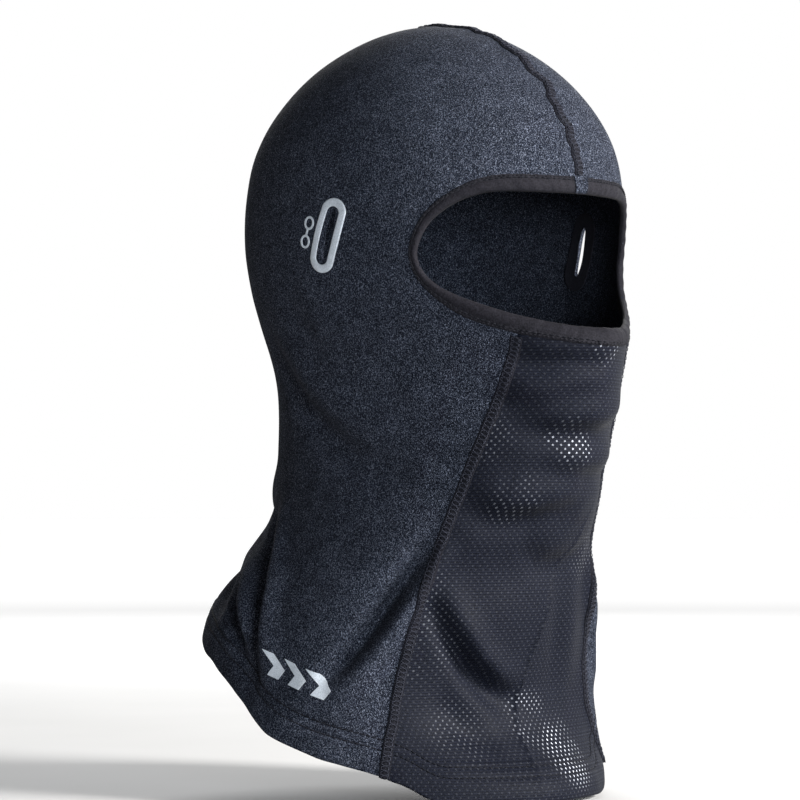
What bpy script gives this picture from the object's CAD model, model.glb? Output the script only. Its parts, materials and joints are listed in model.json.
import json
import math

import bmesh
import bpy
import numpy as np
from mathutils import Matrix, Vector, noise
from mathutils.bvhtree import BVHTree

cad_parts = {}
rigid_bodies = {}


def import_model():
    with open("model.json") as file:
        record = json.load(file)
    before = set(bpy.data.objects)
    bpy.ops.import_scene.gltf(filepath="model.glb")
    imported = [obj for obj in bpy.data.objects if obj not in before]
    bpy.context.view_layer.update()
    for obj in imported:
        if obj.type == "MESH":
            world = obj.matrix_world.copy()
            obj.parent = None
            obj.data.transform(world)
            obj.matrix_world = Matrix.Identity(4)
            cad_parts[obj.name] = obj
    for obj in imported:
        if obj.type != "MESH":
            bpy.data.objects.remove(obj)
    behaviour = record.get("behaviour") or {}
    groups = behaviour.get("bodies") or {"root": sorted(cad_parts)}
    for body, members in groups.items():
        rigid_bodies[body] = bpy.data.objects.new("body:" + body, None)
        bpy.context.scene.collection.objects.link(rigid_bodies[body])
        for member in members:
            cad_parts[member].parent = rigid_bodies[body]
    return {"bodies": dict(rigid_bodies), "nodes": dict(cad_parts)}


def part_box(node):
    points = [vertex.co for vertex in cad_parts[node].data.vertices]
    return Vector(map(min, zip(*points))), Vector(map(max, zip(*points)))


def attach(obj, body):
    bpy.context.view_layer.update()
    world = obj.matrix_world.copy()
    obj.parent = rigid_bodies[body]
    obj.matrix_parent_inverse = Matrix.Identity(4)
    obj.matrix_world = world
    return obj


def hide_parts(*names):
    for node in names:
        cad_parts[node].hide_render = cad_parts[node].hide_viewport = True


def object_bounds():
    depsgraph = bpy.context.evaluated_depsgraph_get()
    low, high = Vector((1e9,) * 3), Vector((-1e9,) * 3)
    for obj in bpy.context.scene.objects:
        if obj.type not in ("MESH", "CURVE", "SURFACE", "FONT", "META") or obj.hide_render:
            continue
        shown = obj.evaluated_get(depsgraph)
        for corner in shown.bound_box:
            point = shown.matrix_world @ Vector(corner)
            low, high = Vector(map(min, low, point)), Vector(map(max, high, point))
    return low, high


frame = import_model()
cad_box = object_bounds()
BODY = next(iter(frame["bodies"]))

# Cloth, in metres
JERSEY = 0.0011
NET = 0.0008
FILM = 0.0003
SINK = 0.0001
HEM_DEPTH = 0.018
STITCH = 0.0026
STITCH_GAP = 0.0007
THREAD = 0.00028

# Points closer than this are made one
WELD = 2e-6

# Millimetres in a metre
MM = 1000

# The lattice that every piece of cloth is read from
FRONT_COLUMNS = 56
SIDE_COLUMNS = 138
HALF = FRONT_COLUMNS + SIDE_COLUMNS
DOME_ROWS = 88
ROW_STEP = 0.0018
REACH = 0.3
AXIS_Y = 0.005
MEAN_RADIUS = 0.085

EYE_LOW, EYE_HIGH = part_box("eye_binding")
RAW_EDGE = 0.2
SPRING = (EYE_LOW.z + EYE_HIGH.z) / 2


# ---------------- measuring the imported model

def ray_tree(*names):
    """The CAD nodes named, as one target for rays."""
    points = []
    faces = []
    for name in names:
        mesh = frame["nodes"][name].data
        mesh.calc_loop_triangles()
        start = len(points)
        points += [v.co.copy() for v in mesh.vertices]
        faces += [[start + i for i in t.vertices] for t in mesh.loop_triangles]
    return BVHTree.FromPolygons(points, faces)


def way(angle, rise=0.0):
    """The way out from the upright axis. Angle 0 is the front, and 90 degrees the wearer's right."""
    return Vector((-math.sin(angle) * math.cos(rise), -math.cos(angle) * math.cos(rise), math.sin(rise)))


def cloth_radius(tree, angle, height, rise=0.0):
    """How far out the first face is, from the axis at that height, or None where there's no cloth."""
    out = way(angle, rise)
    start = Vector((0, AXIS_Y, height)) + out * REACH
    distance = tree.ray_cast(start, -out, REACH)[3]
    return None if distance is None else REACH - distance


def smooth(values, passes, wrap=False):
    """A line of numbers, evened out."""
    values = np.array(values, float)
    for _ in range(passes):
        padded = np.pad(values, 1, mode="wrap" if wrap else "reflect")
        values = (padded[:-2] + 2 * values + padded[2:]) / 4
    return values


def read_hem(tree, steps=121, halvings=15):
    """Angles from front to back, and the height of the cloth's lower edge at each."""
    angles = np.linspace(0, math.pi, steps)
    heights = []
    for angle in angles:
        low, high = -0.01, EYE_LOW.z - 0.03
        for _ in range(halvings):
            middle = (low + high) / 2
            if cloth_radius(tree, angle, middle) is None:
                low = middle
            else:
                high = middle
        heights.append(high)
    padded = np.pad(heights, 3, mode="reflect")
    steady = [np.median(padded[k:k + 7]) for k in range(steps)]
    return angles, smooth(steady, 8)


def front_hit(tree, x, height):
    """Where a ray from in front meets the tree, or None."""
    return tree.ray_cast(Vector((x, -REACH, height)), Vector((0, 1, 0)), REACH)[0]


def read_front_seam(levels=26, step=0.00025, foot=0.014, head=0.006):
    """A cubic for the front seam's angle at each height, and the seam's top."""
    tree = ray_tree("right_front_seam")
    low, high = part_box("right_front_seam")
    heights = np.linspace(low.z + foot, high.z - head, levels)
    angles = []
    for height in heights:
        hits = [front_hit(tree, x, height) for x in np.arange(low.x, high.x, step)]
        hits = [hit for hit in hits if hit]
        middle = hits[len(hits) // 2]
        angles.append(math.atan2(-middle.x, AXIS_Y - middle.y))
    return np.polyfit(heights, angles, 3), high.z


def read_eye(turns=144, step=0.00025, nearest=0.02, spare=0.003):
    """The binding's finished and outer edges, as distances from the eye's centre seen from the front."""
    tree = ray_tree("eye_binding")
    angles = np.linspace(0, 2 * math.pi, turns, endpoint=False)
    inner = []
    outer = []
    for angle in angles:
        hits = [distance for distance in np.arange(nearest, EYE_HIGH.x + spare, step)
                if front_hit(tree, distance * math.cos(angle), SPRING + distance * math.sin(angle))]
        inner.append(hits[0])
        outer.append(hits[-1])
    return angles, smooth(inner, 2, True), smooth(outer, 2, True)


panel_tree = ray_tree("right_side_panel", "left_side_panel", "front_mesh_panel")
HEM_ANGLES, HEM_HEIGHTS = read_hem(panel_tree)
SEAM_CUBIC, SEAM_TOP = read_front_seam()
EYE_ANGLES, EYE_INNER, EYE_OUTER = read_eye()
# the band rolls inwards at the two ends of the opening, so it shows narrower there
EYE_OUTER = EYE_INNER + (EYE_OUTER - EYE_INNER) * (1 - 0.6 * np.abs(np.cos(EYE_ANGLES)) ** 10)


def hem_height(angle):
    return np.interp(np.abs(angle), HEM_ANGLES, HEM_HEIGHTS)


def seam_angle(height):
    return np.polyval(SEAM_CUBIC, np.minimum(height, SEAM_TOP))


def eye_reach(turn, share):
    """Distance from the eye's centre: share 0 is the finished edge and 1 the binding's outer edge."""
    inner = np.interp(turn, EYE_ANGLES, EYE_INNER, period=2 * math.pi)
    outer = np.interp(turn, EYE_ANGLES, EYE_OUTER, period=2 * math.pi)
    return inner + share * (outer - inner)


# ---------------- the skin: the hood's outer face

def row_heights():
    """Heights above the hem's edge for the rows round it, close together at the fold and the turn's end."""
    fold = [0, 0.00012, 0.0004, 0.0008, 0.0013]
    band = list(np.arange(0.0025, HEM_DEPTH - 0.0005, ROW_STEP * 0.55))
    return np.array(fold + band + [HEM_DEPTH - 0.0002, HEM_DEPTH + 0.0002, HEM_DEPTH + 0.0018])


EDGE_ROWS = row_heights()
WALL_ROWS = int((SPRING - HEM_DEPTH) / (ROW_STEP * 1.1))
WALL_TOP = len(EDGE_ROWS) + WALL_ROWS - 1


def bare_lattice():
    """Angle, height and rise of each lattice point on the right half, before any ray is cast."""
    rows = WALL_TOP + 1 + DOME_ROWS
    column = np.arange(HALF + 1)[None, :]
    angle = np.zeros((rows, HALF + 1)) + column * math.pi / HALF
    height = np.full((rows, HALF + 1), SPRING)
    share = np.linspace(0, 1, WALL_ROWS + 1)[1:, None]
    for _ in range(6):
        hem = hem_height(angle[:WALL_TOP + 1])
        edge = len(EDGE_ROWS)
        height[:edge] = hem[:edge] + EDGE_ROWS[:, None]
        foot = hem[edge:] + EDGE_ROWS[-1]
        height[edge:WALL_TOP + 1] = foot + share * (SPRING - foot)
        seam = seam_angle(height)
        front = seam * column / FRONT_COLUMNS
        side = seam + (math.pi - seam) * (column - FRONT_COLUMNS) / SIDE_COLUMNS
        angle = np.where(column <= FRONT_COLUMNS, front, side)
    rise = np.zeros_like(angle)
    rise[WALL_TOP + 1:] = np.linspace(0, math.pi / 2, DOME_ROWS + 1)[1:, None]
    return angle, height, rise


def neighbours_mean(grid):
    padded = np.pad(grid, 1, mode="reflect")
    return (padded[:-2, 1:-1] + padded[2:, 1:-1] + padded[1:-1, :-2] + padded[1:-1, 2:]) / 4


def read_radius(angle, height, rise, fill_passes=240, even_passes=8):
    """The lattice's distances out from the axis, with the eye opening and the seam gaps filled in."""
    radius = np.full(angle.shape, np.nan)
    for place in np.ndindex(angle.shape):
        found = cloth_radius(panel_tree, angle[place], height[place], rise[place])
        if found is not None:
            radius[place] = found
    empty = np.isnan(radius)
    empty[-1] = True
    columns = np.arange(angle.shape[1])
    for row in range(angle.shape[0] - 1):
        good = ~empty[row]
        radius[row] = np.interp(columns, columns[good], radius[row][good])
    radius[-1] = radius[-2].mean()
    for _ in range(fill_passes):
        radius = np.where(empty, neighbours_mean(radius), radius)
    for _ in range(even_passes):
        radius = (radius + neighbours_mean(radius)) / 2
    radius[-1] = radius[-2].mean()
    return radius


def both_sides(half, sign=1):
    """A right half, front centre to back centre, joined to its mirror image: columns from just past the back
    centre on the left, through the front, to the back centre."""
    return np.concatenate([sign * half[:, HALF - 1:0:-1], half], axis=1)


def lattice_normals(points):
    across = np.roll(points, -1, axis=1) - np.roll(points, 1, axis=1)
    up = np.gradient(points, axis=0)
    normals = np.cross(up, across)
    length = np.linalg.norm(normals, axis=2, keepdims=True)
    normals = normals / np.maximum(length, 1e-12)
    normals[-1] = normals[-2].mean(axis=0)
    normals[-1] /= np.linalg.norm(normals[-1, 0])
    return normals


def column_of(step):
    """The lattice column that is that many steps from the front centre, to the wearer's right."""
    return (step + HALF - 1) % (2 * HALF)


half_angle, half_height, half_rise = bare_lattice()
half_radius = read_radius(half_angle, half_height, half_rise)
ANGLE = both_sides(half_angle, -1)
HEIGHT = both_sides(half_height)
RISE = both_sides(half_rise)
RADIUS = both_sides(half_radius)
SMOOTH_SKIN = np.stack([
    -np.sin(ANGLE) * np.cos(RISE) * RADIUS,
    AXIS_Y - np.cos(ANGLE) * np.cos(RISE) * RADIUS,
    HEIGHT + np.sin(RISE) * RADIUS,
], axis=2)


# ---------------- folds

def bump(distance, width):
    return np.exp(-(distance / width) ** 2)


def noise_field(points, size, seed):
    """Smooth noise from -1 to 1 whose lumps are about that size."""
    shift = Vector((seed * 7.3, seed * 3.1, seed * 5.7))
    flat = points.reshape(-1, 3) / size
    values = [noise.noise(Vector(p) + shift) for p in flat]
    return np.array(values).reshape(points.shape[:-1])


def crease(points, depth, width, ridge=0.0, facing=1):
    """A fold along points given as (degrees, millimetres up): a valley that fades at its ends, with a softer
    ridge above it, or below it where facing is -1."""
    across = ANGLE * MEAN_RADIUS * MM
    up = SMOOTH_SKIN[..., 2] * MM
    line = np.array([[math.radians(degrees) * MEAN_RADIUS * MM, height] for degrees, height in points])
    lengths = np.hypot(*np.diff(line, axis=0).T)
    total = lengths.sum()
    nearest = np.full(across.shape, np.inf)
    signed = np.zeros(across.shape)
    along = np.zeros(across.shape)
    start = 0.0
    for (ax, ay), (bx, by), length in zip(line[:-1], line[1:], lengths):
        tx, ty = (bx - ax) / length, (by - ay) / length
        t = np.clip((across - ax) * tx + (up - ay) * ty, 0, length)
        dx, dy = across - ax - t * tx, up - ay - t * ty
        distance = np.hypot(dx, dy)
        closer = distance < nearest
        nearest = np.where(closer, distance, nearest)
        side = -ty * dx + tx * dy
        side = np.where(tx < 0, -side, side)
        signed = np.where(closer, side, signed)
        along = np.where(closer, start + t, along)
        start += length
    fade = np.sin(np.pi * np.clip(along / total, 0.0, 1.0)) ** 0.85
    valley = -depth * bump(nearest, width)
    lift = ridge * bump(facing * signed - width * 2, width * 1.3) * (nearest < width * 6)
    return fade * (valley + lift * bump(np.maximum(nearest - abs(signed), 0), width))


def soften(field, times):
    """The field with its sharp lines rounded off, by averaging each point with its neighbours."""
    for _ in range(times):
        padded = np.pad(field, ((1, 1), (0, 0)), mode="edge")
        beside = np.roll(field, 1, axis=1) + np.roll(field, -1, axis=1)
        field = (2 * field + padded[2:] + padded[:-2] + beside) / 6
    return field


# Folds of each side: points as (degrees, millimetres up), then depth, width and ridge in millimetres, and
# which side the ridge is on
SIDE_FOLDS = (
    # under the jaw, from behind the ear to the front seam
    (((122, 206), (110, 184), (98, 170), (84, 160), (70, 151), (56, 147), (42, 144)), 5.6, 8.5, 3.4, 1),
    # from high on the front seam down and back to the mark, with the flap in front of it standing up
    (((37, 118), (46, 101), (53, 89), (60, 76), (68, 62), (76, 52)), 11.0, 4.2, 6.0, -1),
    # three pleats where the neck runs out over the shoulder
    (((128, 124), (114, 106), (106, 90), (103, 70), (98, 46)), 9.5, 4.4, 5.2, 1),
    (((138, 104), (124, 91), (114, 76), (102, 52)), 7.5, 3.8, 4.0, 1),
    (((150, 112), (138, 94), (124, 78)), 5.2, 4.6, 2.8, 1),
    # a short pinch just above the hem
    (((84, 38), (78, 37), (72, 39)), 2.0, 2.2, 1.0, 1),
    # across the nape
    (((142, 158), (160, 145), (178, 141)), 2.6, 7.0, 1.4, 1),
    (((134, 134), (156, 121), (177, 116)), 3.0, 6.0, 1.6, 1),
    (((150, 100), (164, 96), (178, 97)), 1.8, 5.0, 0.9, 1),
    # a shallow pull from the slot down to the jaw, and one in front of the slot
    (((98, 226), (90, 205), (78, 188)), 1.5, 9.0, 0.6, 1),
    (((60, 184), (48, 168), (38, 158)), 1.2, 6.0, 0.8, 1),
)
# Soft rolls of the mesh under the nose and chin: height, depth and width in millimetres, and ends in degrees
MESH_ROLLS = ((195, 3.2, 4.0, -14, 26), (178, 2.2, 4.2, 0, 27), (164, 4.0, 5.0, -22, 22),
              (143, 2.8, 4.4, -28, 14), (127, 4.2, 5.6, -8, 32), (108, 2.2, 4.8, -26, 10))
# Folds of the mesh over the throat, given as for the sides
MESH_FOLDS = (
    (((42, 92), (33, 72), (24, 57), (12, 47), (-4, 42)), 7.5, 5.0, 4.4),
    (((-12, 104), (-20, 72), (-27, 40)), 2.0, 7.0, 1.2),
    (((38, 44), (26, 32), (12, 24)), 3.2, 6.0, 1.8),
)
# One thin raised line down the mesh, where it was once folded
FOLD_MARK = (((-18, 134), (-10, 92), (-3, 52), (6, -4)), -1.7, 1.1)


JAW_HEIGHT = 0.165


def drape():
    """The folds of the worn cloth, in millimetres outwards."""
    mm = np.zeros(ANGLE.shape)
    for side in (1, -1):
        for points, *sizes in SIDE_FOLDS:
            mm += crease([(side * degrees, height) for degrees, height in points], *sizes)
    for height, depth, width, left, right in MESH_ROLLS:
        sag = 3 + 2 * math.sin(height)
        line = [(left, height + 2), (left * 0.6 + right * 0.4, height - sag),
                (left * 0.3 + right * 0.7, height - sag), (right, height + 4)]
        mm += crease(line, depth, width, 0.8 * depth)
    for points, *sizes in MESH_FOLDS:
        mm += crease(points, *sizes)
    return soften(mm, 4) + crease(*FOLD_MARK)


def folds():
    """How far the worn cloth stands off its smooth form, in metres: drape folds, puckers and unevenness."""
    mm = drape()
    x, y, height = np.moveaxis(SMOOTH_SKIN, 2, 0)
    # small ripples beside the seams, where the stitching gathers the cloth
    beside_front = (np.abs(ANGLE) - seam_angle(height)) * MEAN_RADIUS * MM
    below_eye = np.clip((SEAM_TOP - height) / 0.008, 0, 1)
    mm += 0.5 * bump(beside_front, 9) * below_eye * noise_field(SMOOTH_SKIN * [1, 1, 2.4], 0.016, 3)
    above_eye = np.where(y < 0, np.clip((height - EYE_HIGH.z) / 0.01, 0, 1), 1)
    mm += 0.9 * bump(x * MM, 11) * above_eye * noise_field(SMOOTH_SKIN * [0.5, 1.6, 1.6], 0.014, 5)
    # the needle rows pull the hem in
    for name in ("hem_stitching_lower", "hem_stitching_upper"):
        row_height = (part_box(name)[0].z - HEM_HEIGHTS.min()) * MM
        mm[:len(EDGE_ROWS)] -= 0.55 * bump(EDGE_ROWS[:, None] * MM - row_height, 0.9)
    # the whole cloth is a little uneven, more so where it hangs free below the jaw
    loose = np.clip((JAW_HEIGHT - height) / 0.06, 0.25, 1)
    mm += 1.1 * loose * noise_field(SMOOTH_SKIN, 0.034, 1) + 0.35 * loose * noise_field(SMOOTH_SKIN, 0.013, 2)
    return mm / MM


FOLDS = folds()
FOLDS[-1] = FOLDS[-2].mean()
SKIN = SMOOTH_SKIN + lattice_normals(SMOOTH_SKIN) * FOLDS[..., None]
NORMALS = lattice_normals(SKIN)


def grid_faces(rows, columns, close_rows=False, close_columns=False):
    """The faces of a grid of points, which may close on itself either way."""
    index = np.arange(rows * columns).reshape(rows, columns)
    if close_rows:
        index = np.concatenate([index, index[:1]], axis=0)
    if close_columns:
        index = np.concatenate([index, index[:, :1]], axis=1)
    quads = np.stack([index[:-1, :-1], index[:-1, 1:], index[1:, 1:], index[1:, :-1]], axis=2)
    return quads.reshape(-1, 4).tolist()


def tube_faces(rows, columns):
    """The faces of a tube of rings, one ring to a row, with a face across each end."""
    last = (rows - 1) * columns
    ends = [list(range(columns))[::-1], list(range(last, last + columns))]
    return grid_faces(rows, columns, close_columns=True) + ends


SKIN_FACES = grid_faces(*SKIN.shape[:2], close_columns=True)
SKIN_TREE = BVHTree.FromPolygons(SKIN.reshape(-1, 3).tolist(), SKIN_FACES)


def drop(start, direction):
    """Where a point, moved along a direction, meets the skin, and the skin's outward normal there."""
    place, normal = SKIN_TREE.ray_cast(Vector(start), Vector(direction), REACH * 2)[:2]
    centre = Vector((0, AXIS_Y, min(place.z, SPRING)))
    if normal.dot(place - centre) < 0:
        normal = -normal
    return np.array(place), np.array(normal)


# ---------------- building pieces

def add_object(name, data):
    piece = bpy.data.objects.new(name, data)
    bpy.context.scene.collection.objects.link(piece)
    return piece


def new_piece(name, shape, material, stands_for=(), sharp=50, weave=None):
    """A closed piece from a shape's points and faces, smooth but for edges sharper than the angle given."""
    points, faces = shape
    mesh = bpy.data.meshes.new(name)
    mesh.from_pydata(np.asarray(points, float).tolist(), [], [list(f) for f in faces])
    if weave is not None:
        store = mesh.attributes.new("weave", "FLOAT_VECTOR", "POINT")
        store.data.foreach_set("vector", np.asarray(weave, np.float32).ravel())
    work = bmesh.new()
    work.from_mesh(mesh)
    loose = [v for v in work.verts if not v.link_faces]
    bmesh.ops.delete(work, geom=loose, context="VERTS")
    bmesh.ops.remove_doubles(work, verts=work.verts, dist=WELD)
    bmesh.ops.dissolve_degenerate(work, edges=work.edges, dist=WELD)
    bmesh.ops.recalc_face_normals(work, faces=work.faces)
    work.to_mesh(mesh)
    work.free()
    mesh.polygons.foreach_set("use_smooth", [True] * len(mesh.polygons))
    mesh.set_sharp_from_angle(angle=math.radians(sharp))
    mesh.materials.append(material)
    piece = add_object(name, mesh)
    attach(piece, BODY)
    if stands_for:
        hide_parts(*stands_for)
    return piece


def shell_parts(top, under, keep):
    """Cloth with two faces and a closed edge. keep says which cells of the grid are cloth."""
    rows, columns = keep.shape
    index = np.arange((rows + 1) * (columns + 1)).reshape(rows + 1, columns + 1)
    corners = [index[:-1, :-1], index[:-1, 1:], index[1:, 1:], index[1:, :-1]]
    quads = np.stack([c[keep] for c in corners], axis=1)
    edges = np.concatenate([quads[:, [0, 1]], quads[:, [1, 2]], quads[:, [2, 3]], quads[:, [3, 0]]])
    _, place, count = np.unique(np.sort(edges, axis=1), axis=0, return_inverse=True, return_counts=True)
    rim = edges[count[place.ravel()] == 1]
    wall = np.stack([rim[:, 1], rim[:, 0], rim[:, 0] + index.size, rim[:, 1] + index.size], axis=1)
    points = np.concatenate([top.reshape(-1, 3), under.reshape(-1, 3)])
    faces = np.concatenate([quads, quads[:, ::-1] + index.size, wall])
    return points, faces.tolist()


def full_turn(count):
    """That many angles, evenly spaced round a full turn."""
    return np.arange(count) * 2 * math.pi / count


def unit(vectors):
    return vectors / np.maximum(np.linalg.norm(vectors, axis=-1, keepdims=True), 1e-12)


def resample(points, step, closed=False):
    """Points evenly spaced along a line."""
    points = np.asarray(points, float)
    if closed:
        points = np.concatenate([points, points[:1]])
    lengths = np.concatenate([[0], np.cumsum(np.linalg.norm(np.diff(points, axis=0), axis=1))])
    count = max(2, int(round(lengths[-1] / step)))
    wanted = np.linspace(0, lengths[-1], count + 1)
    line = np.stack([np.interp(wanted, lengths, points[:, k]) for k in range(3)], axis=1)
    return line[:-1] if closed else line


def line_frame(points):
    """Outward and sideways directions at each point of a line on the skin."""
    along = unit(np.gradient(points, axis=0))
    rough = []
    for point in points:
        normal = SKIN_TREE.find_nearest(Vector(point))[1]
        outward = Vector(point) - Vector((0, AXIS_Y, min(point[2], SPRING)))
        rough.append(np.array(normal if normal.dot(outward) > 0 else -normal))
    rough = np.array(rough)
    for _ in range(6):
        rough[1:-1] = unit(rough[1:-1] + rough[:-2] + rough[2:])
    out = unit(rough - along * (rough * along).sum(axis=1, keepdims=True))
    return out, np.cross(along, out)


def settle(points, out, lift):
    """The points moved onto the skin along the outward direction, then lifted off it."""
    settled = []
    for point, normal, height in zip(points, out, np.broadcast_to(lift, len(points))):
        place = SKIN_TREE.ray_cast(Vector(point + normal * 0.008), Vector(-normal), 0.02)[0]
        if place is None:
            place = SKIN_TREE.find_nearest(Vector(point))[0]
        settled.append(np.array(place) + normal * height)
    return np.array(settled)


def strip_parts(line, half_width, profile):
    """A band of cloth along a line on the skin. profile is (share across, lift), over and back underneath."""
    out, side = line_frame(line)
    rings = [settle(line + side * (share * half_width), out, lift) for share, lift in profile]
    return np.stack(rings, axis=1).reshape(-1, 3), tube_faces(len(line), len(profile))


def tube_parts(line, out, radius, sides=5):
    """A thread along a line, given the outward direction at each point."""
    along = unit(np.gradient(line, axis=0))
    side = unit(np.cross(along, out))
    up = np.cross(side, along)
    turns = full_turn(sides)
    rings = (line[:, None] + radius * (np.cos(turns)[None, :, None] * side[:, None]
                                       + np.sin(turns)[None, :, None] * up[:, None]))
    return rings.reshape(-1, 3), tube_faces(len(line), sides)


def join(parts):
    """Several sets of points and faces as one."""
    points = []
    faces = []
    start = 0
    for some_points, some_faces in parts:
        points.append(np.asarray(some_points))
        faces += [[start + i for i in face] for face in some_faces]
        start += len(some_points)
    return np.concatenate(points), faces


def stitch_row(line, lift, closed=False, pitch=STITCH, gap=STITCH_GAP, radius=THREAD):
    """Needle stitches along a line: short threads whose ends dip into the cloth."""
    fine = resample(line, pitch / 4, closed)
    if closed:
        fine = np.concatenate([fine, fine[:1]])
    out = line_frame(fine)[0]
    fine = settle(fine, out, lift)
    parts = []
    shares = np.array([0.5 * gap, 0.9 * gap, pitch / 2, pitch - 0.9 * gap, pitch - 0.5 * gap]) / pitch * 4
    heights = np.array([-0.9, 0.1, 0.35, 0.1, -0.9]) * radius
    for start in range(0, len(fine) - 4, 4):
        at = start + shares
        low = np.floor(at).astype(int)
        part = (at - low)[:, None]
        points = fine[low] * (1 - part) + fine[low + 1] * part
        normals = unit(out[low])
        parts.append(tube_parts(points + normals * heights[:, None], normals, radius))
    return join(parts)


def cover_threads(line, half_width, lift, pitch=0.0021, radius=THREAD * 0.8):
    """The looper threads of a cover stitch: two zigzags that cross between the needle rows."""
    fine = resample(line, pitch / 4)
    out, side = line_frame(fine)
    phase = np.arange(len(fine)) * math.pi / 4
    parts = []
    for shift, stack in ((0, 0.2), (math.pi, 0.7)):
        sway = np.clip(1.5 * np.sin(phase + shift), -1, 1)
        points = settle(fine + side * (half_width * sway)[:, None], out, lift + radius * stack)
        parts.append(tube_parts(points, out, radius))
    return join(parts)


# ---------------- materials

def node_maker(tree):
    """A function that adds a node to the tree, sets it up and links its inputs."""
    def add(kind, inputs=None, **settings):
        node = tree.nodes.new(kind)
        for key, value in settings.items():
            setattr(node, key, value)
        for key, value in (inputs or {}).items():
            if isinstance(value, bpy.types.NodeSocket):
                tree.links.new(value, node.inputs[key])
            else:
                node.inputs[key].default_value = value
        return node

    return add


def new_material(name, constants):
    """A material with the shader inputs given, and functions that add nodes and feed the shader."""
    material = bpy.data.materials.new(name)
    material.use_nodes = True
    tree = material.node_tree
    tree.nodes.clear()
    add = node_maker(tree)
    shader = add("ShaderNodeBsdfPrincipled", constants)
    add("ShaderNodeOutputMaterial", {"Surface": shader.outputs["BSDF"]})

    def feed(entry, socket):
        tree.links.new(socket, shader.inputs[entry])

    return material, add, feed


def ramp(add, source, stops):
    """A colour ramp from a value; stops are (place, grey or colour)."""
    node = add("ShaderNodeValToRGB", {"Fac": source})
    elements = node.color_ramp.elements
    while len(elements) > 1:
        elements.remove(elements[-1])
    for number, (place, colour) in enumerate(stops):
        element = elements[0] if number == 0 else elements.new(place)
        element.position = place
        element.color = (*colour, 1) if isinstance(colour, tuple) else (colour, colour, colour, 1)
    return node.outputs["Color"]


def fibre_noise(add, scale, detail=2.0, stretch=(1, 1, 1)):
    """Fine noise fixed to the object."""
    where = add("ShaderNodeTexCoord").outputs["Object"]
    mapped = add("ShaderNodeMapping", {"Vector": where, "Scale": stretch}).outputs["Vector"]
    return add("ShaderNodeTexNoise", {"Vector": mapped, "Scale": scale, "Detail": detail}).outputs["Fac"]


def multiply(add, first, second):
    """Two colours multiplied."""
    return add("ShaderNodeMix", {"Factor": 1.0, 6: first, 7: second}, data_type="RGBA",
               blend_type="MULTIPLY").outputs[2]


def relief(add, height, strength, depth):
    """Fine bumps, as a normal for the shader."""
    bumped = add("ShaderNodeBump", {"Height": height, "Strength": strength, "Distance": depth})
    return bumped.outputs["Normal"]


def jersey_material():
    """Brushed heather jersey: dark navy grey with short light flecks and a soft nap."""
    material, add, feed = new_material("heather_jersey", {
        "Roughness": 0.95, "Specular IOR Level": 0.02,
        "Sheen Weight": 0.004, "Sheen Roughness": 0.5, "Sheen Tint": (0.62, 0.70, 0.90, 1)})
    flecks = fibre_noise(add, 2500, 2.0, (1, 1, 0.7))
    clumps = fibre_noise(add, 900)
    patches = fibre_noise(add, 120, 3.0)
    colour = ramp(add, flecks, [(0.34, (0.0030, 0.0036, 0.0060)), (0.48, (0.0080, 0.0096, 0.0146)),
                                (0.57, (0.026, 0.030, 0.042)), (0.68, (0.088, 0.098, 0.125))])
    colour = multiply(add, colour, ramp(add, clumps, [(0.3, 0.62), (0.7, 1.42)]))
    feed("Base Color", multiply(add, colour, ramp(add, patches, [(0.3, 0.80), (0.7, 1.18)])))
    height = add("ShaderNodeMath", {0: flecks, 1: clumps}, operation="ADD").outputs[0]
    feed("Normal", relief(add, height, 0.5, 0.0003))
    return material


# Where the holes of the mesh show brightest: metres round from the front centre and up, reach, and amount
NET_GLINTS = ((0.000, 0.198, 0.009, 0.75), (0.010, 0.161, 0.009, 0.55), (0.003, 0.154, 0.010, 0.65),
              (0.024, 0.133, 0.014, 0.16), (-0.008, 0.036, 0.016, 0.5), (-0.022, 0.020, 0.019, 1.0),
              (0.055, 0.088, 0.020, 0.11), (0.047, 0.070, 0.020, 0.11), (0.046, 0.165, 0.014, 0.16),
              (0.038, 0.158, 0.012, 0.12), (0.034, 0.032, 0.018, 0.10), (-0.040, 0.110, 0.018, 0.12))
NET_PITCH = 0.0034
NET_RIB = 0.0012


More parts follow.
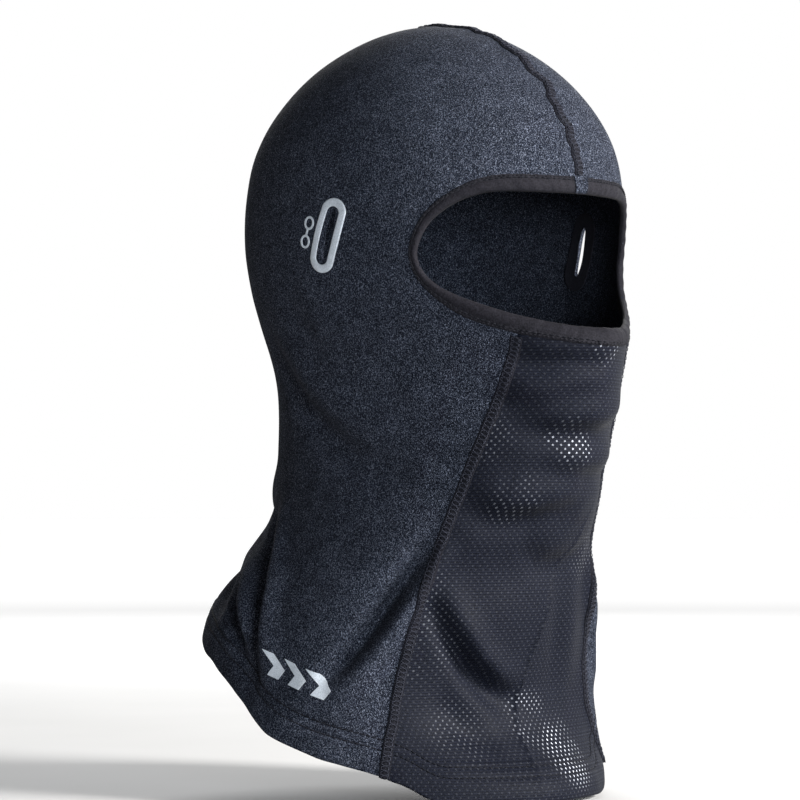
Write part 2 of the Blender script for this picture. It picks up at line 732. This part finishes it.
def net_material():
    """Perforated warp-knit mesh: fine ribs across, and staggered rows of small holes that catch the light."""
    material, add, feed = new_material("perforated_mesh", {
        "Roughness": 0.62, "Specular IOR Level": 0.06, "Sheen Weight": 0.012, "Sheen Roughness": 0.4})
    weave = add("ShaderNodeAttribute", attribute_name="weave").outputs["Vector"]
    split = add("ShaderNodeSeparateXYZ", {"Vector": weave})

    def calculate(operation, *values):
        return add("ShaderNodeMath", dict(enumerate(values)), operation=operation).outputs[0]

    def from_middle(axis, shift):
        cells = calculate("ADD", calculate("DIVIDE", split.outputs[axis], NET_PITCH), 50 + shift)
        return calculate("SUBTRACT", calculate("FRACT", cells), 0.5)

    def dots(shift):
        across, up = from_middle("X", shift), from_middle("Y", shift)
        return calculate("SQRT", calculate("ADD", calculate("MULTIPLY", across, across),
                                           calculate("MULTIPLY", up, up)))

    lit = 0.0
    for across, up, reach, amount in NET_GLINTS:
        offset = add("ShaderNodeVectorMath", {0: weave, 1: (across, up, 0)}, operation="DISTANCE")
        near = add("ShaderNodeMapRange", {"Value": offset.outputs["Value"], "From Min": reach,
                                          "From Max": reach * 0.45, "To Min": 0.0, "To Max": amount},
                   interpolation_type="SMOOTHSTEP")
        lit = calculate("MAXIMUM", lit, near.outputs["Result"])
    lit = calculate("MULTIPLY", lit, ramp(add, fibre_noise(add, 75), [(0.40, 0.12), (0.56, 1.0)]))
    strength = ramp(add, lit, [(0.0, 0.03), (1.0, 1.0)])
    hole = ramp(add, calculate("MINIMUM", dots(0.0), dots(0.5)), [(0.09, 1.0), (0.155, 0.0)])
    ribs = calculate("SINE", calculate("MULTIPLY", split.outputs["Y"], 2 * math.pi / NET_RIB))
    grain = fibre_noise(add, 1900)
    ground = ramp(add, grain, [(0.32, (0.0020, 0.0024, 0.0046)), (0.7, (0.0076, 0.0090, 0.0158))])
    rib_shade = ramp(add, calculate("MULTIPLY_ADD", ribs, 0.5, 0.5), [(0.0, 0.72), (1.0, 1.16)])
    glint = multiply(add, hole, strength)
    yarn = multiply(add, ground, rib_shade)
    colour = add("ShaderNodeMix", {"Factor": glint, 6: yarn, 7: (0.42, 0.44, 0.49, 1)}, data_type="RGBA")
    feed("Base Color", colour.outputs[2])
    height = calculate("ADD", calculate("MULTIPLY", ribs, 0.25), calculate("MULTIPLY", grain, 0.6))
    feed("Normal", relief(add, height, 0.5, 0.0003))
    return material


def plain_cloth_material(name, dark, light, scale, roughness):
    """A knitted or woven trim: two close colours in fine noise."""
    material, add, feed = new_material(name, {
        "Roughness": roughness, "Specular IOR Level": 0.08, "Sheen Weight": 0.01})
    grain = fibre_noise(add, scale)
    feed("Base Color", ramp(add, grain, [(0.3, dark), (0.7, light)]))
    feed("Normal", relief(add, grain, 0.5, 0.00025))
    return material


def reflective_material():
    """Silver-grey transfer film with fine glass-bead grain."""
    material, add, feed = new_material("reflective_film", {"Metallic": 0.15})
    beads = fibre_noise(add, 2600, 1.0)
    scuffs = fibre_noise(add, 160, 3.0)
    base = ramp(add, beads, [(0.3, (0.30, 0.33, 0.37)), (0.7, (0.50, 0.535, 0.58))])
    feed("Base Color", multiply(add, base, ramp(add, scuffs, [(0.3, 0.86), (0.6, 1.05)])))
    feed("Roughness", ramp(add, scuffs, [(0.3, 0.50), (0.7, 0.38)]))
    feed("Normal", relief(add, beads, 0.25, 0.0001))
    return material


jersey = jersey_material()
net = net_material()
binding_cloth = plain_cloth_material("binding_rib", (0.0030, 0.0029, 0.0041), (0.0130, 0.0124, 0.0165),
                                     1500, 0.8)
seam_cloth = plain_cloth_material("seam_tape", (0.0022, 0.0023, 0.0036), (0.0085, 0.0088, 0.0130), 2000, 0.85)
cover_cloth = plain_cloth_material("cover_thread", (0.0050, 0.0054, 0.0080), (0.026, 0.028, 0.040), 2600, 0.7)
thread_cloth = plain_cloth_material("sewing_thread", (0.0016, 0.0017, 0.0026), (0.0085, 0.0090, 0.0130),
                                    2600, 0.7)
backing_cloth = plain_cloth_material("backing_patch", (0.006, 0.006, 0.009), (0.016, 0.016, 0.022), 1600,
                                     0.85)
label_cloth = plain_cloth_material("label_satin", (0.60, 0.60, 0.58), (0.78, 0.78, 0.76), 1500, 0.45)
film = reflective_material()


# ---------------- cloth panels

def in_eye(points, share):
    """Whether points on the front are inside the eye opening, out to that share of the binding's width."""
    turn = np.arctan2(points[..., 2] - SPRING, points[..., 0])
    distance = np.hypot(points[..., 0], points[..., 2] - SPRING)
    return (distance < eye_reach(turn, share)) & (points[..., 1] < 0)


def slot_frame():
    """The slot ring's centre, its half length and half width, and its lean, seen from the wearer's right."""
    points = np.array([v.co for v in frame["nodes"]["right_slot_ring"].data.vertices])[:, 1:]
    low, high = points.min(axis=0), points.max(axis=0)
    centre = (low + high) / 2
    best = max(np.radians(np.arange(-40, 41)),
               key=lambda lean: np.ptp((points - centre) @ [-math.sin(lean), math.cos(lean)]))
    along = (points - centre) @ [-math.sin(best), math.cos(best)]
    across = (points - centre) @ [math.cos(best), math.sin(best)]
    return centre, np.ptp(along) / 2, np.ptp(across) / 2, best


SLOT_CENTRE, SLOT_LONG, SLOT_WIDE, SLOT_LEAN = slot_frame()
RING_BAND = 0.0037
SLIT_LONG = 0.0120
SLIT_WIDE = 0.0023


def slot_outline(inset, count=72):
    """The ring's rounded outline in its own plane, that far inside its outer edge."""
    radius = SLOT_WIDE - inset
    straight = SLOT_LONG - SLOT_WIDE
    turns = full_turn(count)
    up = np.sin(turns)
    along = up * radius + np.sign(up) * straight * np.minimum(1, 3 * np.abs(up))
    return np.stack([np.cos(turns) * radius, along], axis=1)


def slit_outline(grow=0.0):
    """The slit that a glasses arm goes through: a narrow opening with pointed ends, slightly agape."""
    turns = full_turn(72)
    half = SLIT_WIDE * np.abs(np.cos(turns)) ** 0.8 * np.sign(np.cos(turns))
    along = SLIT_LONG * np.sin(turns)
    lean = 0.0006 * np.sin(along / SLIT_LONG * 2.4)
    return np.stack([half + np.sign(half) * grow + lean, along * (1 + grow / SLIT_LONG)], axis=1)


def on_temple(flat, lift, side, centre=None):
    """Points of a flat outline beside the slot, laid on the temple. side is 1 on the wearer's right."""
    centre = SLOT_CENTRE if centre is None else centre
    points = []
    for (across, along), height in zip(flat, np.broadcast_to(lift, len(flat))):
        y = centre[0] + across * math.cos(SLOT_LEAN) - along * math.sin(SLOT_LEAN)
        z = centre[1] + across * math.sin(SLOT_LEAN) + along * math.cos(SLOT_LEAN)
        place, normal = drop((-side * REACH, y, z), (side, 0, 0))
        points.append(place + normal * height)
    return np.array(points)


def temple_rings(outlines, lifts, side, centre=None):
    """A closed band through nested outlines on the temple, each at its own lift."""
    rings = [on_temple(outline, lift, side, centre) for outline, lift in zip(outlines, lifts)]
    return np.concatenate(rings), grid_faces(len(rings), len(rings[0]), close_rows=True, close_columns=True)


def in_slot(points, inset):
    """Whether points on a temple are inside the slot ring, out to that far inside its outer edge."""
    y = points[..., 1] - SLOT_CENTRE[0]
    z = points[..., 2] - SLOT_CENTRE[1]
    across = y * math.cos(SLOT_LEAN) + z * math.sin(SLOT_LEAN)
    along = -y * math.sin(SLOT_LEAN) + z * math.cos(SLOT_LEAN)
    beyond = np.maximum(np.abs(along) - (SLOT_LONG - SLOT_WIDE), 0)
    return np.hypot(across, beyond) < SLOT_WIDE - inset


def hem_offsets(rows, thickness):
    """How far inside the skin the cloth's two faces lie: rounded at the edge, and doubled in the hem."""
    rise = np.zeros(rows)
    rise[:len(EDGE_ROWS)] = EDGE_ROWS
    rise[len(EDGE_ROWS):] = HEM_DEPTH * 2
    double = np.where(rise < HEM_DEPTH, 2 * thickness + 0.0001, thickness)
    curl = np.clip(rise / 0.0013, 0, 1)
    opened = np.sqrt(1 - (1 - curl) ** 2)
    return double / 2 * (1 - opened), double / 2 * (1 + opened)


def panel_grids(first, last, thickness):
    """The outer and inner faces of the cloth between two columns."""
    columns = [column_of(step) for step in range(first, last + 1)]
    outer, inner = hem_offsets(SKIN.shape[0], thickness)
    top = SKIN[:, columns] - NORMALS[:, columns] * outer[:, None, None]
    under = SKIN[:, columns] - NORMALS[:, columns] * inner[:, None, None]
    return top, under


def cell_middles(points):
    return (points[:-1, :-1] + points[1:, :-1] + points[:-1, 1:] + points[1:, 1:]) / 4


def slot_lips(side):
    """The jersey between the ring and the slit, dipping towards the slit."""
    outer = slot_outline(RING_BAND / 2)
    slit = slit_outline()
    outlines = [outer * (1 - share) + slit * share for share in (0, 0.35, 0.6, 0.8, 0.93, 1)]
    dips = [0, 0.0002, 0.0003, 0.0001, -0.0003, -0.0009]
    lifts = dips + [dip - JERSEY for dip in dips[::-1]]
    return temple_rings(outlines + outlines[::-1], lifts, side)


def side_panel(word, side):
    """Half of the hood in jersey, between the front seam and the seam over the crown, with a turned hem."""
    first, last = (0, HALF) if side > 0 else (-HALF, 0)
    top, under = panel_grids(first, last, JERSEY)
    middles = cell_middles(top)
    steps = np.abs(np.arange(first, last) + 0.5)
    keep = (steps[None, :] > FRONT_COLUMNS) | (middles[..., 2] > SPRING)
    keep &= ~in_eye(middles, RAW_EDGE)
    keep &= ~in_slot(middles, RING_BAND / 2)
    shape = join([shell_parts(top, under, keep), slot_lips(side)])
    return new_piece(word + "_side_cloth", shape, jersey, [word + "_side_panel"])


def weave_lattice(points):
    """Where each point lies in the knit: metres round from the front centre, and up."""
    angle = np.arctan2(-points[..., 0], AXIS_Y - points[..., 1])
    radius = np.hypot(points[..., 0], points[..., 1] - AXIS_Y).mean(axis=1, keepdims=True)
    return np.stack([angle * radius, points[..., 2], np.zeros_like(angle)], axis=2)


def mesh_panel():
    """The breathable panel below the eyes."""
    top, under = panel_grids(-FRONT_COLUMNS, FRONT_COLUMNS, NET)
    middles = cell_middles(top)
    keep = (middles[..., 2] < SPRING) & ~in_eye(middles, RAW_EDGE)
    shape = shell_parts(top, under, keep)
    lattice = weave_lattice(top).reshape(-1, 3)
    weave = np.concatenate([lattice, lattice])
    return new_piece("front_mesh_cloth", shape, net, ["front_mesh_panel"], weave=weave)


# ---------------- binding round the eyes

def eye_point(turn, share):
    """A point of the skin round the eye, and the outward direction there."""
    distance = eye_reach(turn, share)
    return drop((distance * math.cos(turn), -REACH, SPRING + distance * math.sin(turn)), (0, 1, 0))


BINDING_SECTION = (
    (1.00, 0.00005), (0.985, 0.0005), (0.94, 0.0008), (0.84, 0.0009), (0.76, 0.00065), (0.68, 0.0010),
    (0.50, 0.0012), (0.32, 0.0012), (0.16, 0.0010), (0.05, 0.00055), (0.0, -0.0001), (-0.01, -0.0006),
    (0.0, -0.0012), (0.06, -0.0018), (0.30, -0.0021), (0.70, -0.0021), (0.88, -0.0018), (0.90, -0.0012),
    (0.60, -0.00115), (0.20, -0.00115), (0.14, -0.0006), (0.20, 0.0), (0.60, 0.0),
)


def folded_band(turns, section, swell=0.0, closed=True):
    """A band folded over the edge of the eye opening, swept round the turns given."""
    rings = []
    for turn in turns:
        ripple = 0.00012 * math.sin(turn * 61) + 0.0001 * math.sin(turn * 23 + 1)
        for share, lift in section:
            place, normal = eye_point(turn, max(share, 0.0))
            toward = unit(np.array([0, place[1], SPRING]) - place)
            inward = max(-share, 0.0) * 0.03
            grow = swell if lift > 0 else -swell
            puff = ripple if lift > 0.0001 else 0.0
            rings.append(place + normal * (lift + grow + puff) + toward * inward)
    count = len(section)
    if closed:
        return np.array(rings), grid_faces(len(turns), count, close_rows=True, close_columns=True)
    return np.array(rings), tube_faces(len(turns), count)


def eye_turns(count):
    """Turns round the eye, evenly spaced along its edge."""
    fine = np.linspace(0, 2 * math.pi, 721)
    edge = np.stack([eye_reach(fine, 0.5) * np.cos(fine), eye_reach(fine, 0.5) * np.sin(fine)], axis=1)
    lengths = np.concatenate([[0], np.cumsum(np.linalg.norm(np.diff(edge, axis=0), axis=1))])
    return np.interp(np.linspace(0, lengths[-1], count, endpoint=False), lengths, fine)


def eye_line(share):
    """A line round the eye on the skin, at that share of the binding's width."""
    return np.array([eye_point(turn, share)[0] for turn in eye_turns(360)])


def eye_binding():
    """The folded band itself."""
    shape = folded_band(eye_turns(320), BINDING_SECTION)
    new_piece("eye_binding_band", shape, binding_cloth, ["eye_binding"], sharp=70)


def binding_join():
    """The heather tab that covers the binding's join, above the nose."""
    low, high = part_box("eye_binding_join")
    reach = float(eye_reach(math.pi / 2, 0.5))
    half = high.x / reach
    turns = np.linspace(math.pi / 2 - half, math.pi / 2 + half, 12)
    shape = folded_band(turns, BINDING_SECTION, 0.0005, closed=False)
    nodes = ["eye_binding_join"]
    new_piece("eye_binding_join_tab", shape, jersey, nodes, sharp=60)


def binding_stitches():
    rows = [stitch_row(eye_line(0.80), 0.0009, closed=True),
            stitch_row(eye_line(0.90), 0.0009, closed=True, pitch=0.0019, gap=0.0008)]
    shape = join(rows)
    new_piece("eye_binding_stitches", shape, thread_cloth, ["eye_binding_stitching"])


# ---------------- seams and hem

SEAM_HALF = 0.0025
SEAM_SECTION = ((-1.0, 0.00003), (-0.97, 0.00035), (-0.80, 0.00055), (-0.62, 0.00045), (-0.42, 0.00085),
                (-0.15, 0.00105), (0.15, 0.00105), (0.42, 0.00085), (0.62, 0.00045), (0.80, 0.00055),
                (0.97, 0.00035), (1.0, 0.00003), (0.5, -0.0002), (-0.5, -0.0002))


def wander(length, size, spread, seed):
    """A sideways wobble along a line, as fine stitching puckers a seam."""
    return np.array([spread * noise.noise(Vector((at / size, seed * 4.7, 0.3))) for at in length])


def seam_line(points, size, spread, seed, step=0.0009, still=0.006):
    """The seam's own line: the path swayed to either side by puckers, with a still stretch at each end."""
    line = resample(points, step)
    out, side = line_frame(line)
    length = np.arange(len(line)) * step
    ends = np.clip(np.minimum(length, length[-1] - length) / still, 0, 1)
    sway = (wander(length, size, spread, seed) + wander(length, size / 2.6, spread * 0.45, seed + 9)) * ends
    return settle(line + side * sway[:, None], out, 0.0)


def build_seam(word, points, nodes, size, spread, seed):
    """A flatlock seam: its tape, and on it the looper threads with a needle row along each edge."""
    line = seam_line(points, size, spread, seed)
    shape = strip_parts(line, SEAM_HALF, SEAM_SECTION)
    new_piece(word + "_seam_tape", shape, seam_cloth, [nodes[0]])
    side = line_frame(line)[1]
    parts = [cover_threads(line, SEAM_HALF * 0.62, 0.00095)]
    for share in (-0.68, 0.68):
        parts.append(stitch_row(line + side * (SEAM_HALF * share), 0.00052, pitch=0.0023))
    shape = join(parts)
    new_piece(word + "_seam_threads", shape, cover_cloth, [nodes[1]])


def crown_path():
    """From the eye binding over the crown and down the back to the hem."""
    front = SKIN[:, column_of(0)]
    back = SKIN[:, column_of(HALF)]
    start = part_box("eye_binding_join")[1].z - 0.001
    front = front[(front[:, 2] > start) & (front[:, 1] < 0)]
    return np.concatenate([front, back[::-1]])


def front_seam_path(side):
    """From the eye binding down to the hem."""
    line = SKIN[:, column_of(side * FRONT_COLUMNS)]
    line = line[:WALL_TOP + 1]
    inside = in_eye(line, 0.96)
    return line[~inside][::-1]


def hem_rows():
    """Twin needle rows round the hem, above its lower edge."""
    rise = np.concatenate([EDGE_ROWS, EDGE_ROWS[-1] + ROW_STEP * np.arange(1, 9)])
    for word in ("lower", "upper"):
        name = "hem_stitching_" + word
        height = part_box(name)[0].z - HEM_HEIGHTS.min()
        line = []
        for column in range(2 * HALF):
            line.append([np.interp(height, rise, SKIN[:len(rise), column, k]) for k in range(3)])
        shape = stitch_row(np.array(line), 0.00012, closed=True)
        new_piece("hem_" + word + "_stitches", shape, thread_cloth, [name])


# ---------------- slots, symbols, mark and label

def slot_ring(word, side):
    """The film ring bonded round the slot, a little domed."""
    insets = [0.0, 0.00005, 0.0003, 0.0007, RING_BAND / 2, RING_BAND - 0.0007, RING_BAND - 0.0003,
              RING_BAND - 0.00005, RING_BAND, RING_BAND / 2]
    lifts = [0.0, 0.0003, 0.00052, 0.0006, 0.00064, 0.0006, 0.00052, 0.0003, 0.0, -0.0002]
    shape = temple_rings([slot_outline(inset, 96) for inset in insets], lifts, side)
    new_piece(word + "_slot_ring_film", shape, film, [word + "_slot_ring"])


def slot_backing(word, side):
    """The patch bonded inside, with the slit through it."""
    outer = slot_outline(-0.002)
    slit = slit_outline(0.0003)
    shares = [0, 0.3, 0.7, 1.0, 0.8, 0.4, 0]
    outlines = [outer * (1 - share) + slit * share for share in shares]
    depths = [0.0001, 0.0001, 0.0001, 0.0009, 0.0007, 0.0007, 0.0007]
    shape = temple_rings(outlines, [-JERSEY - depth for depth in depths], side)
    new_piece(word + "_slot_backing_patch", shape, backing_cloth, [word + "_slot_backing"])


def circle(radius, along):
    turns = full_turn(28)
    return np.stack([radius * np.cos(turns), radius * np.sin(turns) + along], axis=1)


def glasses_symbol(word, side):
    """Two small rings joined by a bar, which show that the slot takes a glasses arm."""
    low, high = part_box(word + "_glasses_symbol")
    centre = np.array([low.y + high.y, low.z + high.z]) / 2
    long = (high.z - low.z) / math.cos(SLOT_LEAN) * 0.99
    outer = long * 0.21
    inner = outer * 0.66
    parts = []
    for sign in (1, -1):
        middle = sign * (long / 2 - outer)
        radii = [outer, outer - 0.0001, inner + 0.0001, inner, (inner + outer) / 2]
        outlines = [circle(radius, middle) for radius in radii]
        parts.append(temple_rings(outlines, [0, FILM, FILM, 0, -SINK], side, centre))
    half = 0.0005
    reach = long / 2 - 2 * outer + 0.0002
    outline = np.array([(-half, -reach), (half, -reach), (half, 0),
                        (half, reach), (-half, reach), (-half, 0)])
    bar = [on_temple(outline, lift, side, centre) for lift in (-SINK, FILM)]
    faces = grid_faces(2, 6, close_columns=True) + [[5, 4, 3, 2, 1, 0], [6, 7, 8, 9, 10, 11]]
    parts.append((np.concatenate(bar), faces))
    shape = join(parts)
    new_piece(word + "_glasses_rings", shape, film, [word + "_glasses_symbol"])


ARM_ROWS = 11
ARM_COLUMNS = 6


def chevron_arm(start, finish, drift):
    """One arm of a chevron as points in the plane: from start to finish, as wide as the drift."""
    rows = []
    for along in np.linspace(0, 1, ARM_ROWS):
        base = start + (finish - start) * along
        rows += [base + drift * across for across in np.linspace(0, 1, ARM_COLUMNS)]
    return np.array(rows)


def reflective_mark():
    """Three plain chevrons low on the wearer's right side."""
    low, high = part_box("reflective_mark")
    centre = np.array([low.y + high.y, low.z + high.z]) / 2
    lean = math.radians(20)
    pitch, rise, point, stroke = 0.012, 0.012, 0.005, 0.006
    parts = []
    for number in (-1, 0, 1):
        left = number * pitch - (stroke + point) / 2
        for sign in (1, -1):
            flat = chevron_arm(np.array([left, sign * rise / 2]), np.array([left + point, 0.0]),
                               np.array([stroke, 0.0]))
            y = centre[0] - flat[:, 0] * math.cos(lean) + flat[:, 1] * math.sin(lean)
            z = centre[1] - flat[:, 0] * math.sin(lean) + flat[:, 1] * math.cos(lean)
            spots = np.array([drop((-REACH, a, b), (1, 0, 0)) for a, b in zip(y, z)])
            place, normal = spots.reshape(ARM_ROWS, ARM_COLUMNS, 2, 3).swapaxes(0, 2).swapaxes(1, 2)
            keep = np.ones((ARM_ROWS - 1, ARM_COLUMNS - 1), bool)
            parts.append(shell_parts(place + normal * FILM, place - normal * SINK, keep))
    shape = join(parts)
    new_piece("reflective_chevrons", shape, film, ["reflective_mark"])


def care_label():
    """A blank satin label sewn inside the nape by its top edge."""
    low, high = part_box("care_label")
    rows = []
    for up in np.linspace(high.z, low.z, 22):
        fall = (high.z - up) / (high.z - low.z)
        row = []
        for x in np.linspace(low.x, high.x, 15):
            place, normal = drop((x, 0.0, up), (0, 1, 0))
            curl = 0.0022 * fall ** 2 + 0.0006 * fall * math.sin(x * 220)
            row.append(place - normal * (JERSEY + 0.0003 + curl))
        rows.append(row)
    top = np.array(rows)
    under = top + np.array([0, -0.00025, 0])
    shape = shell_parts(top, under, np.ones((21, 14), bool))
    return new_piece("care_label_satin", shape, label_cloth, ["care_label"])


# ---------------- stage, light and camera

def studio_world():
    """A pale studio: white behind the hood as the camera sees it, and dim everywhere else."""
    world = bpy.data.worlds.new("studio")
    bpy.context.scene.world = world
    world.use_nodes = True
    tree = world.node_tree
    add = node_maker(tree)
    where = add("ShaderNodeTexCoord").outputs["Generated"]
    turn = math.radians(VIEW_AZIMUTH)
    behind = (-math.sin(turn), math.cos(turn), 0.0)
    toward = add("ShaderNodeVectorMath", {0: where, 1: behind}, operation="DOT_PRODUCT").outputs["Value"]
    fade = add("ShaderNodeMapRange", {"Value": toward, "From Min": 0.55, "From Max": 0.96, "To Min": 0.12,
                                      "To Max": 1.0}, interpolation_type="SMOOTHSTEP")
    background = tree.nodes["Background"]
    background.inputs["Color"].default_value = (1, 1, 1, 1)
    tree.links.new(fade.outputs["Result"], background.inputs["Strength"])


FLOOR_RADIUS = 14.0
FLOOR_SIDES = 96
FLOOR_DROP = 0.0015


def floor():
    """A wide pale ground that glows to white far from the hood, so that no horizon shows behind it."""
    turns = full_turn(FLOOR_SIDES)
    level = cad_box[0].z - FLOOR_DROP
    ring = [(FLOOR_RADIUS * math.cos(t), FLOOR_RADIUS * math.sin(t), level) for t in turns]
    mesh = bpy.data.meshes.new("floor")
    mesh.from_pydata(ring, [], [list(range(FLOOR_SIDES))])
    material, add, feed = new_material("pale_floor", {"Roughness": 0.9, "Emission Color": (1, 1, 1, 1)})
    feed("Base Color", ramp(add, fibre_noise(add, 6), [(0.3, 0.34), (0.7, 0.36)]))
    where = add("ShaderNodeTexCoord").outputs["Object"]
    distance = add("ShaderNodeVectorMath", {0: where}, operation="LENGTH").outputs["Value"]
    far = add("ShaderNodeMapRange", {"Value": distance, "From Min": 0.5, "From Max": 3.0, "To Min": 0.0,
                                     "To Max": 0.9}, interpolation_type="SMOOTHSTEP")
    feed("Emission Strength", far.outputs["Result"])
    mesh.materials.append(material)
    piece = add_object("floor", mesh)


VIEW_AZIMUTH = -41.35
VIEW_ELEVATION = -1.2
TARGET = Vector((0, -0.003, 0.1685))
CAMERA_DISTANCE = 1.5
LENS = 147.6
SHIFT = (-0.0466, 0.026)


def aim(name, data, azimuth, rise, distance):
    """A camera or light that looks at the hood. Azimuth 0 is in front, and -90 degrees the wearer's right."""
    back = way(-math.radians(azimuth), math.radians(rise))
    piece = add_object(name, data)
    piece.location = TARGET + back * distance
    piece.rotation_mode = "QUATERNION"
    piece.rotation_quaternion = (-back).to_track_quat("-Z", "Y")
    return piece


def camera():
    data = bpy.data.cameras.new("camera")
    data.lens = LENS
    data.shift_x, data.shift_y = SHIFT
    bpy.context.scene.camera = aim("camera", data, VIEW_AZIMUTH, VIEW_ELEVATION, CAMERA_DISTANCE)


def area_light(name, azimuth, rise, distance, size, power, colour):
    """A soft round light on the hood."""
    data = bpy.data.lights.new(name, "AREA")
    data.shape = "DISK"
    data.size = size
    data.energy = power
    data.color = colour
    aim(name, data, azimuth, rise, distance)


# ---------------- making the hood

right_cloth = side_panel("right", 1)
left_cloth = side_panel("left", -1)
mesh_cloth = mesh_panel()
eye_binding()
binding_join()
binding_stitches()
build_seam("crown", crown_path(), ("crown_seam", "crown_seam_threads"), 0.011, 0.0030, 1)
for word, side in (("right", 1), ("left", -1)):
    names = (word + "_front_seam", word + "_front_seam_threads")
    build_seam(word + "_front", front_seam_path(side), names, 0.020, 0.0008, 3 + side)
    slot_ring(word, side)
    slot_backing(word, side)
    glasses_symbol(word, side)
hem_rows()
reflective_mark()
label = care_label()

studio_world()
floor()
camera()
area_light("key", 24, 22, 1.7, 0.7, 104, (1.0, 0.98, 0.95))
area_light("fill", -24, 0, 2.2, 0.7, 56, (0.86, 0.93, 1.0))
area_light("edge", 95, 20, 1.8, 0.8, 3, (1.0, 1.0, 1.0))
area_light("back", 140, 30, 1.9, 1.2, 46, (1.0, 1.0, 1.0))
bpy.context.scene.view_settings.view_transform = "Standard"
